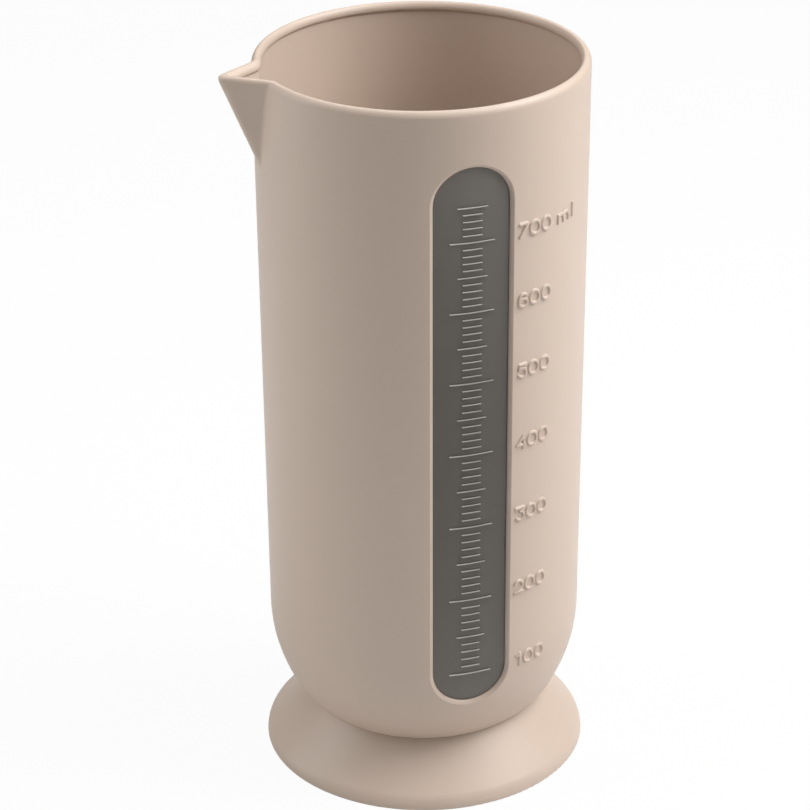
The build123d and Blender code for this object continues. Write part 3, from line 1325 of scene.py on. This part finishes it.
    def _seeds(self, numerals: bool) -> np.ndarray:
        """Args:
            numerals: whether the face carries the numerals.

        Returns:
            Points inside the patch of wall round the opening, close together on the numerals.
        """
        space, seeds = self.spacing, []
        low, high = (math.radians(turn) * self.metric for turn in self.patch)
        columns = np.radians(np.linspace(*self.patch, self.front)[1:-1]) * self.metric
        for z in np.arange(space.wall_low, self.patch_high - space.top_margin, space.wall):
            seeds += [(s, z) for s in columns]
        for z in np.arange(self.patch_low + space.belly, space.belly_top, space.belly):
            across = np.arange(low + space.low_margin, high - space.high_margin, space.belly)
            seeds += [(s, z) for s in across]
        seeds = np.array(seeds)
        x = np.sin(seeds[:, 0] / self.metric) * self.metric
        seeds = seeds[self.window.far(x, seeds[:, 1]) > space.clear]
        if not numerals:
            return seeds
        fine = []
        for left, foot, strokes in self.labels:
            seeds = seeds[distance(seeds - (left, foot), strokes) > space.apart]
            wide = max(float(s[:, 0].max()) for s in strokes)
            across, upward = np.meshgrid(
                np.arange(-space.around, wide + space.around, space.numeral),
                np.arange(-space.around, self.lettering.high + space.around, space.numeral),
            )
            across = across + space.numeral / 2 * (np.arange(across.shape[0]) % 2)[:, None]
            grid = np.stack([across.ravel(), upward.ravel()], -1)
            far = distance(grid, strokes)
            sparse = np.arange(len(grid)) % space.thinning == 0
            kept = (far < self.lettering.foot + space.beyond) | ((far < space.around) & sparse)
            fine.append(grid[kept] + (left, foot))
        return np.vstack([seeds, *fine])

    def _opening(self) -> tuple[list[np.ndarray], list[np.ndarray], np.ndarray, np.ndarray]:
        """Rings of the opening from the wall's outside, over its bevel, to the inside.

        Returns:
            The rings of the bevel and their exact normals, the last ring, and the sides' normals.
        """
        loop, ways = self.window.loop()
        corner = self.outer.point(loop[:, 0], loop[:, 1])
        square = self.outer.outward(corner)
        inward = np.array((0.0, 1.0, 0.0))
        away = np.stack([ways[:, 0], np.zeros(len(ways)), ways[:, 1]], -1)
        away[:, 1] = -(square * away).sum(1) / square[:, 1]
        away /= np.linalg.norm(away, axis=1, keepdims=True)
        half = np.arccos(np.clip(away @ inward, -1, 1)) / 2
        reach = (self.window.edge_round / np.tan(half))[:, None]
        middle = away + inward
        middle /= np.linalg.norm(middle, axis=1, keepdims=True)
        centre = corner + middle * (self.window.edge_round / np.sin(half))[:, None]
        first = corner + away * reach
        first = self.outer.point(first[:, 0], first[:, 2])
        last = corner + inward * reach
        rings, normals, bulge = [], [], self.window.edge_bulge
        for share in np.linspace(0.0, 1.0, self.window.edge_steps + 1):
            cosine, sine = math.cos(share * math.pi / 2), math.sin(share * math.pi / 2)
            start, end = cosine ** (2 / bulge), sine ** (2 / bulge)
            rings.append(centre + (first - centre) * start + (last - centre) * end)
            way = (first - centre) * cosine ** (2 - 2 / bulge) + (last - centre) * sine ** (2 - 2 / bulge)
            normals.append(way / np.linalg.norm(way, axis=1, keepdims=True))
        rings[0], rings[-1] = first, last
        sides = -np.stack([ways[:, 0], np.zeros(len(ways)), ways[:, 1]], -1)
        normals[0], normals[-1] = self.outer.outward(first), sides
        return rings, normals, self.inner.point(loop[:, 0], loop[:, 1]), sides

    def _front(
        self, shell: Shell, rings: list[np.ndarray], hole: np.ndarray, wall: WallLine, face: float
    ) -> None:
        """Fills the patch of wall round the opening.

        Args:
            shell: the mesh that gets it.
            rings: the wall's rings between the patch's edges, upwards.
            hole: the ring where the opening meets the wall.
            wall: the wall's face.
            face: 1 for the outside, -1 for the inside.
        """
        count = self.front
        border = [rings[0][i] for i in range(count)]
        border += [ring[count - 1] for ring in rings[1:-1]]
        border += [rings[-1][i] for i in range(count - 1, -1, -1)]
        border += [ring[0] for ring in rings[-2:0:-1]]
        fixed = np.vstack([np.array(border), hole])
        flat = np.stack([np.arctan2(fixed[:, 0], -fixed[:, 1]) * self.metric, fixed[:, 2]], -1)
        loops = [flat[: len(border)], flat[len(border):]]
        spots, triangles, source = fill(loops, self._seeds(face > 0))
        raised = self.relief(spots) if face > 0 else np.zeros(len(spots))
        turn = spots[:, 0] / self.metric
        radius = wall.radius(spots[:, 1])
        base = np.stack([radius * np.sin(turn), -radius * np.cos(turn), spots[:, 1]], -1)
        square = wall.outward(base)
        places = base + square * raised[:, None]
        normals = square * face
        if face > 0:
            step = self.slope_step
            along = (self.relief(spots + (step, 0)) - self.relief(spots - (step, 0))) / (2 * step)
            upward = (self.relief(spots + (0, step)) - self.relief(spots - (0, step))) / (2 * step)
            tangent = np.stack([np.cos(turn), np.sin(turn), np.zeros_like(turn)], -1)
            normals = square - tangent * along[:, None] - np.cross(square, tangent) * upward[:, None]
            normals /= np.linalg.norm(normals, axis=1, keepdims=True)
        border_points = (source >= 0) & (source < len(fixed))
        places[border_points] = fixed[source[border_points]]
        opening = enclosed(spots[np.array(triangles)].mean(1), loops[1])
        shell.patch(places, normals, [t for t, gone in zip(triangles, opening) if not gone])

    def build(self, material: bpy.types.Material) -> bpy.types.Object:
        """Makes the cup.

        Args:
            material: its finish.

        Returns:
            The cup's object.
        """
        shell = Shell()
        up, down = self._outside(), self._hollow()
        rings = up + down
        front = list(range(self.front - 1))
        narrow, wide = self.patch_radii
        spans = []
        for first, last in ((0, len(up)), (len(up), len(rings))):
            chosen = [
                i for i in range(first, last)
                if self.patch_low <= round(rings[i][0][2], 6) <= self.patch_high
                and narrow < np.hypot(*rings[i][0][:2]) < wide
            ]
            spans.append((min(chosen), max(chosen)))
        for i in range(len(rings) - 1):
            open_front = any(a <= i < b for a, b in spans)
            shell.band(rings[i], rings[i + 1], front if open_front else ())
        shell.cap(rings[0], (0.0, 0.0, self.form.under), last=False)
        shell.cap(rings[-1], (0.0, 0.0, self.form.floor_height), last=True)
        edge, normals, inside, sides = self._opening()
        for i in range(len(edge) - 1):
            shell.band(edge[i], edge[i + 1], (), (normals[i], normals[i + 1]))
        shell.band(edge[-1], inside, (), (sides, sides))
        (a, b), (c, d) = spans
        self._front(shell, rings[a : b + 1], edge[0], self.outer, 1.0)
        self._front(shell, rings[c : d + 1][::-1], inside, self.inner, -1.0)
        return shell.build("cup", material)


@dataclass
class LevelPane:
    """The see-through strip in the opening.

    Attributes:
        form: sizes of the round wall.
        window: sizes of the opening.
        columns: mesh points across.
        columns_reach: the outermost of them.
        belly_rows: first row above the low end, end of the close rows and their distance.
        wall_rows: first row above them, room to the high end and the distance there.
        clear: room to the edge.
    """

    form: CupForm = field(default_factory=CupForm)
    window: WindowForm = field(default_factory=WindowForm)
    columns: int = 13
    columns_reach: float = 9.0
    belly_rows: tuple[float, float, float] = (0.8, 46.0, 1.0)
    wall_rows: tuple[float, float, float] = (50.0, 1.0, 6.0)
    clear: float = 0.5

    def _face(self, shell: Shell, wall: WallLine, face: float) -> np.ndarray:
        """Fills one face of the strip.

        Args:
            shell: the mesh that gets it.
            wall: the face's line.
            face: 1 for the outside, -1 for the inside.

        Returns:
            The face's edge.
        """
        loop, _ = self.window.loop(-self.window.gap)
        (first, last, rise), (wall_first, wall_room, wall_rise) = self.belly_rows, self.wall_rows
        heights = [
            *np.arange(self.window.low + first, last, rise),
            *np.arange(wall_first, self.window.high - wall_room, wall_rise),
        ]
        across = np.linspace(-self.columns_reach, self.columns_reach, self.columns)
        seeds = np.array([(x, z) for z in heights for x in across])
        seeds = seeds[self.window.far(seeds[:, 0], seeds[:, 1]) < -self.clear]
        spots, triangles, _ = fill([loop], seeds)
        places = wall.point(spots[:, 0], spots[:, 1])
        shell.patch(places, wall.outward(places) * face, triangles)
        return wall.point(loop[:, 0], loop[:, 1])

    def build(self, material: bpy.types.Material) -> bpy.types.Object:
        """Makes the strip.

        Args:
            material: its finish.

        Returns:
            The strip's object.
        """
        shell = Shell()
        front = self._face(shell, WallLine(self.form, self.window.recess), 1.0)
        back = self._face(shell, WallLine(self.form, None), -1.0)
        _, ways = self.window.loop()
        sides = np.stack([ways[:, 0], np.zeros(len(ways)), ways[:, 1]], -1)
        shell.band(back, front, (), (sides, sides))
        return shell.build("level_pane", material)


class MarkKind(Enum):
    """Lengths of the graduation marks, by the roundness of their volume."""

    SHORT = 4.9
    MEDIUM = 7.5
    LONG = 11.3


@dataclass
class Graduations:
    """The raised marks on the strip, one for each step of volume.

    Attributes:
        form: sizes of the round wall.
        window: sizes of the opening.
        scale: volumes and heights.
        tall: height of one mark.
        relief: how far a mark stands out.
        bury: how deep its back lies in the strip.
        cap_steps: steps round each end.
        middle_steps: steps from an end's rounding to the middle.
        profile_steps: steps across.
        crest_way: sideways and upward share of the direction from which the painted highlight lights the
            marks' edges.
        crest_from: least share of it that gets painted highlight.
        crest_over: further share over which the painted highlight grows.
        weld: points closer than this are merged.
        thinnest: least share of the width at a mark's very end.
    """

    form: CupForm = field(default_factory=CupForm)
    window: WindowForm = field(default_factory=WindowForm)
    scale: ScaleForm = field(default_factory=ScaleForm)
    tall: float = 1.0
    relief: float = 0.3
    bury: float = 0.08
    cap_steps: int = 3
    middle_steps: int = 2
    profile_steps: int = 6
    crest_way: tuple[float, float] = (-1.2, 0.85)
    crest_from: float = 0.42
    crest_over: float = 0.30
    weld: float = 0.002
    thinnest: float = 0.02

    def _mark(self, bench: Bench, kind: MarkKind, given: dict[str, Sock]) -> Sock:
        """Lays out the nodes of one mark: a low bar with round ends, bent round the strip's face.

        Args:
            bench: where the nodes go.
            kind: which mark.
            given: the tree's inputs by name.

        Returns:
            The mark as an instance.
        """
        half, cap = kind.value / 2, given["Mark Height"] * 0.5
        steps = 2 * (self.cap_steps + self.middle_steps)
        curve = bench.add(
            "GeometryNodeCurvePrimitiveLine", {"mode": "POINTS"}, {"Start": (0, 0, 0), "End": (1, 0, 0)}
        )
        points = bench.add("GeometryNodeResampleCurve", None, {"Curve": curve, "Count": steps + 1})
        index = bench.add("GeometryNodeInputIndex")
        from_end = index.least(steps - index)
        swing = from_end.least(self.cap_steps) * (math.pi / 2 / self.cap_steps)
        along = cap * (1.0 - swing.cosine())
        along = along + (half - cap) * (from_end - self.cap_steps).most(0.0) * (1 / self.middle_steps)
        side = 1.0 - 2.0 * index.above(steps / 2)
        turn = (half - along) * side / given["Face Radius"]
        reach = given["Face Radius"]
        place = bench.join(reach * turn.sine(), 0.0 - reach * turn.cosine(), 0.0)
        laid = bench.add("GeometryNodeSetPosition", None, {"Geometry": points, "Position": place})
        thick = bench.add(
            "GeometryNodeSetCurveRadius", None, {"Curve": laid, "Radius": swing.sine().most(self.thinnest)}
        )
        arc = bench.add(
            "GeometryNodeCurveArc",
            {"mode": "RADIUS"},
            {
                "Resolution": self.profile_steps + 1,
                "Radius": 1.0,
                "Start Angle": 0.0,
                "Sweep Angle": math.pi,
            },
        )
        closed = bench.add("GeometryNodeSetSplineCyclic", None, {"Geometry": arc, "Cyclic": True})
        parts = bench.split(bench.add("GeometryNodeInputPosition"))
        flat = bench.join(
            parts[0] * cap, parts[1] * (given["Mark Relief"] + given["Mark Bury"]) - given["Mark Bury"], 0.0
        )
        outline = bench.add("GeometryNodeSetPosition", None, {"Geometry": closed, "Position": flat})
        mark = bench.add(
            "GeometryNodeCurveToMesh", None, {"Curve": thick, "Profile Curve": outline, "Fill Caps": True}
        )
        return bench.add("GeometryNodeGeometryToInstance", None, {"Geometry": mark})

    def _tree(self, material: bpy.types.Material) -> tuple[bpy.types.NodeTree, dict[str, str]]:
        """Lays out the nodes that repeat the marks.

        Args:
            material: the marks' finish.

        Returns:
            The tree, and each input's identifier by its name.
        """
        tree = bpy.data.node_groups.new("graduations", "GeometryNodeTree")
        tree.interface.new_socket("Geometry", in_out="OUTPUT", socket_type="NodeSocketGeometry")
        names = (
            "Count", "Lowest Volume", "Volume Step", "Low Trim", "High Trim", "Mid Trim",
            "Anchor Height", "Anchor Volume", "Anchor Radius", "Cavity Lean",
            "Face Radius", "Face Draft", "Mark Height", "Mark Relief", "Mark Bury",
        )
        keys = {}
        for name in names:
            kind = "NodeSocketInt" if name == "Count" else "NodeSocketFloat"
            keys[name] = tree.interface.new_socket(name, in_out="INPUT", socket_type=kind).identifier
        bench = Bench(tree)
        group = tree.nodes.new("NodeGroupInput")
        given = {name: Sock(bench, group.outputs[name]) for name in names}
        line = bench.add(
            "GeometryNodeMeshLine", {"mode": "OFFSET"}, {"Count": given["Count"], "Offset": (0, 0, 0)}
        )
        index = bench.add("GeometryNodeInputIndex")
        volume = given["Lowest Volume"] + index * given["Volume Step"]
        share = index / (given["Count"] - 1.0)
        trim = given["Low Trim"] + (given["High Trim"] - given["Low Trim"]) * share
        trim = trim + 4.0 * given["Mid Trim"] * share * (1.0 - share)
        above = (volume + trim - given["Anchor Volume"]) * float(MM3_PER_ML)
        first = given["Anchor Radius"]
        cubed = first * first * first + 3.0 * given["Cavity Lean"] * above * (1 / math.pi)
        height = given["Anchor Height"] + (cubed ** (1 / 3) - first) / given["Cavity Lean"]
        radius = given["Face Radius"] + given["Face Draft"] * (height - given["Anchor Height"])
        swell = radius / given["Face Radius"]
        kinds = [self._mark(bench, kind, given) for kind in MarkKind]
        stock = tree.nodes.new("GeometryNodeJoinGeometry")
        for kind in reversed(kinds):
            tree.links.new(kind.socket, stock.inputs[0])
        on_long, on_medium = (
            1.0 - ((volume % step).above(0.5) * (step - volume % step).above(0.5))
            for step in (float(self.scale.long_step), float(self.scale.medium_step))
        )
        laid = bench.add(
            "GeometryNodeInstanceOnPoints",
            None,
            {
                "Points": line,
                "Instance": Sock(bench, stock.outputs[0]),
                "Pick Instance": True,
                "Instance Index": on_long + on_medium,
                "Scale": bench.join(swell, swell, 1.0),
            },
        )
        lifted = bench.add(
            "GeometryNodeTranslateInstances",
            None,
            {"Instances": laid, "Translation": bench.join(0.0, 0.0, height)},
        )
        real = bench.add("GeometryNodeRealizeInstances", None, {"Geometry": lifted})
        metres = bench.add("GeometryNodeTransform", None, {"Geometry": real, "Scale": (MM, MM, MM)})
        welded = bench.add(
            "GeometryNodeMergeByDistance", None, {"Geometry": metres, "Distance": self.weld * MM}
        )
        smooth = bench.add("GeometryNodeSetShadeSmooth", None, {"Geometry": welded})
        # Painted highlight: points whose normals face up and to the left are stored as lighter, standing in
        # for the lamps' glint on the marks.
        side, _, up = bench.split(bench.add("GeometryNodeInputNormal"))
        sideways, upward = self.crest_way
        facing = up * upward + side * sideways
        lit = ((facing - self.crest_from) / self.crest_over).most(0.0)
        painted_glint = bench.add(
            "GeometryNodeStoreNamedAttribute",
            {"data_type": "FLOAT", "domain": "POINT"},
            {"Geometry": smooth, "Name": HIGHLIGHT_PAINT_ATTRIBUTE, "Value": lit.least(1.0)},
        )
        dressed = bench.add("GeometryNodeSetMaterial", None, {"Geometry": painted_glint, "Material": material})
        end = tree.nodes.new("NodeGroupOutput")
        tree.links.new(dressed.socket, end.inputs[0])
        return tree, keys

    def build(self, material: bpy.types.Material) -> bpy.types.Object:
        """Makes the marks.

        Args:
            material: their finish.

        Returns:
            The marks as one plain mesh.
        """
        tree, keys = self._tree(material)
        holder = bpy.data.objects.new("marks_holder", bpy.data.meshes.new("marks_holder"))
        bpy.context.scene.collection.objects.link(holder)
        modifier = holder.modifiers.new("graduations", "NODES")
        modifier.node_group = tree
        face = WallLine(self.form, self.window.recess)
        values = {
            "Count": (self.scale.highest - self.scale.lowest) // self.scale.step + 1,
            "Lowest Volume": float(self.scale.lowest),
            "Volume Step": float(self.scale.step),
            "Low Trim": self.scale.low_trim,
            "High Trim": self.scale.high_trim,
            "Mid Trim": self.scale.mid_trim,
            "Anchor Height": self.scale.anchor,
            "Anchor Volume": self.scale.anchor_volume,
            "Anchor Radius": self.scale.anchor_radius,
            "Cavity Lean": self.scale.lean,
            "Face Radius": float(face.radius(self.scale.anchor)),
            "Face Draft": self.form.draft,
            "Mark Height": self.tall,
            "Mark Relief": self.relief,
            "Mark Bury": self.bury,
        }
        for name, value in values.items():
            modifier[keys[name]] = value
        bpy.context.view_layer.update()
        graph = bpy.context.evaluated_depsgraph_get()
        mesh = bpy.data.meshes.new_from_object(holder.evaluated_get(graph))
        bpy.data.objects.remove(holder)
        mesh.name = "graduation_marks"
        piece = bpy.data.objects.new("graduation_marks", mesh)
        bpy.context.scene.collection.objects.link(piece)
        return piece


# ------------------------------------------------------------------ studio
@dataclass(frozen=True)
class SoftBox:
    """One rectangular studio light that points at the jug.

    Attributes:
        name: the light's name.
        side: metres to the right of the camera's line.
        front: metres towards the camera from the jug.
        up: height in metres.
        width: width in metres.
        height: height in metres.
        power: watts.
    """

    name: str
    side: float
    front: float
    up: float
    width: float
    height: float
    power: float


@dataclass
class Studio:
    """Floor, world, lights and camera.

    Attributes:
        azimuth: camera's turn from the window's middle, in degrees, to the left.
        distance: camera to the jug's axis along the floor, in metres.
        camera_height: camera's height in metres.
        pitch: degrees down.
        yaw: degrees to the right of the axis.
        roll: degrees.
        lens: focal length for the sensor, in mm.
        sensor: its width in mm.
        clip: nearest and farthest thing that the camera sees, in metres.
        aim: height that the lights point at.
        ambient: strength of the world's light.
        floor_radius: radius of the floor in metres.
        floor_sides: corners of its outline.
        floor_grey: how much light it gives back.
        floor_white: how far the camera sees it as plain white, as a share.
        boxes: the soft boxes.
    """

    azimuth: float = -17.3
    distance: float = 0.7137
    camera_height: float = 0.4479
    pitch: float = 26.05
    yaw: float = -0.381
    roll: float = -0.414
    lens: float = 133.36
    sensor: float = 36.0
    clip: tuple[float, float] = (0.01, 50.0)
    aim: float = 0.10
    ambient: float = 0.017
    floor_radius: float = 4.0
    floor_sides: int = 96
    floor_grey: float = 0.75
    floor_white: float = 0.94
    boxes: tuple[SoftBox, ...] = (
        SoftBox("left_box", -0.85, 0.0, 0.30, 0.5, 0.9, 3.3),
        SoftBox("left_back_box", -0.7, -0.6, 0.35, 0.5, 0.9, 0.3),
        SoftBox("right_box", 0.85, 0.0, 0.30, 0.5, 0.9, 0.9),
        SoftBox("top_box", 0.0, 0.0, 1.0, 0.7, 0.7, 1.9),
        SoftBox("top_left_box", -0.65, 0.0, 0.85, 0.6, 0.6, 1.6),
        SoftBox("top_right_box", 0.65, 0.0, 0.85, 0.6, 0.6, 8.3),
        SoftBox("top_right_front_box", 0.6, 0.25, 0.85, 0.7, 0.7, 3.2),
        SoftBox("top_back_box", 0.0, -0.6, 0.9, 0.7, 0.7, 1.7),
        SoftBox("top_front_box", 0.0, 0.6, 0.9, 0.7, 0.7, 0.8),
    )

    def _axes(self) -> tuple[Vector, Vector]:
        """Returns:
            Unit vectors along the floor: to the camera's right, and from the jug to the camera.
        """
        turn = math.radians(self.azimuth)
        back = Vector((math.sin(turn), -math.cos(turn), 0.0))
        return Vector((-back.y, back.x, 0.0)), back

    def camera(self) -> None:
        """Sets the camera at the photograph's viewing angle."""
        right, back = self._axes()
        pitch, yaw, roll = (math.radians(v) for v in (self.pitch, self.yaw, self.roll))
        level_way = right * math.sin(yaw) - back * math.cos(yaw)
        ahead = level_way * math.cos(pitch) + Vector((0, 0, -math.sin(pitch)))
        level = ahead.cross(Vector((0, 0, 1))).normalized()
        rise = level.cross(ahead)
        across = level * math.cos(roll) + rise * math.sin(roll)
        upright = rise * math.cos(roll) - level * math.sin(roll)
        turn = Matrix((across, upright, -ahead)).transposed().to_4x4()
        data = bpy.data.cameras.new("camera")
        data.lens = self.lens
        data.sensor_width = self.sensor
        data.clip_start, data.clip_end = self.clip
        camera = bpy.data.objects.new("camera", data)
        place = back * self.distance + Vector((0, 0, self.camera_height))
        camera.matrix_world = Matrix.Translation(place) @ turn
        bpy.context.scene.collection.objects.link(camera)
        bpy.context.scene.camera = camera

    def lights(self) -> None:
        """Hangs the soft boxes."""
        right, back = self._axes()
        for box in self.boxes:
            data = bpy.data.lights.new(box.name, "AREA")
            data.shape = "RECTANGLE"
            data.size = box.width
            data.size_y = box.height
            data.energy = box.power
            lamp = bpy.data.objects.new(box.name, data)
            lamp.location = right * box.side + back * box.front + Vector((0, 0, box.up))
            aim = Vector((0, 0, self.aim)) - lamp.location
            lamp.rotation_euler = aim.to_track_quat("-Z", "Y").to_euler()
            bpy.context.scene.collection.objects.link(lamp)

    def world(self) -> None:
        """Makes the world: even light, and white where the camera sees it."""
        world = bpy.data.worlds.new("studio")
        bpy.context.scene.world = world
        world.use_nodes = True
        bench = Bench(world.node_tree)
        dim = bench.add("ShaderNodeBackground", None, {"Color": (1, 1, 1, 1), "Strength": self.ambient})
        white = bench.add("ShaderNodeBackground", None, {"Color": (1, 1, 1, 1), "Strength": 1.0})
        seen = bench.add("ShaderNodeLightPath", output="Is Camera Ray")
        mixed = bench.add("ShaderNodeMixShader", None, {0: seen, 1: dim, 2: white})
        bench.add("ShaderNodeOutputWorld", None, {"Surface": mixed})

    def floor(self) -> None:
        """Lays the pale floor."""
        mesh = bpy.data.meshes.new("floor")
        made = bmesh.new()
        bmesh.ops.create_circle(made, cap_ends=True, segments=self.floor_sides, radius=self.floor_radius)
        made.to_mesh(mesh)
        made.free()
        floor = bpy.data.objects.new("floor", mesh)
        bpy.context.scene.collection.objects.link(floor)
        material = bpy.data.materials.new("floor_white")
        material.use_nodes = True
        bench = Bench(material.node_tree)
        matt = bench.add("ShaderNodeBsdfDiffuse", None, {"Color": (*[self.floor_grey] * 3, 1)})
        glow = bench.add("ShaderNodeEmission", None, {"Color": (1, 1, 1, 1), "Strength": 1.0})
        seen = bench.add("ShaderNodeLightPath", output="Is Camera Ray")
        mixed = bench.add("ShaderNodeMixShader", None, {0: seen * self.floor_white, 1: matt, 2: glow})
        bench.add("ShaderNodeOutputMaterial", None, {"Surface": mixed})
        mesh.materials.append(material)

    def build(self) -> None:
        """Sets up the whole studio."""
        bpy.context.scene.view_settings.view_transform = "Standard"
        self.world()
        self.floor()
        self.lights()
        self.camera()


def seat(piece: bpy.types.Object, node: str, slot: str) -> None:
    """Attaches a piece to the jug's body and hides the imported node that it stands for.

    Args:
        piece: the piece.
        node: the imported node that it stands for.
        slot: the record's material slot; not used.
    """
    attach(piece, BODY)
    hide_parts(node)
    LOG.info("%s: %d faces, stands for %s", piece.name, len(piece.data.polygons), node)


def main() -> None:
    """Builds the scene in order."""
    logging.basicConfig(level=logging.INFO, format="%(name)s: %(message)s")
    for stray in [o for o in bpy.data.objects if o.name in ("Cube", "Light", "Camera")]:
        bpy.data.objects.remove(stray)
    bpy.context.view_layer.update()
    beige = SatinPlastic().build()
    smoke = SmokePlastic().build()
    # The ridges get a lighter, opaque copy of the smoke plastic, which paints light onto the marks, and a
    # painted highlight on their tops and left ends.
    ridge = SmokePlastic(
        name="smoke_clear_plastic_ridges", colour=(0.23, 0.21, 0.185), alpha=1.0, roughness=0.16, crest=0.62
    ).build()
    seat(Cup().build(beige), "cup_body", "beige_plastic")
    seat(LevelPane().build(smoke), "level_window", "smoke_window")
    seat(Graduations().build(ridge), "level_window", "smoke_window")
    foot = frame["nodes"]["foot_skirt"]
    foot.data.materials.clear()
    foot.data.materials.append(beige)
    LOG.info("foot_skirt keeps its packed shape")
    Studio().build()


if __name__ == "__main__":
    main()
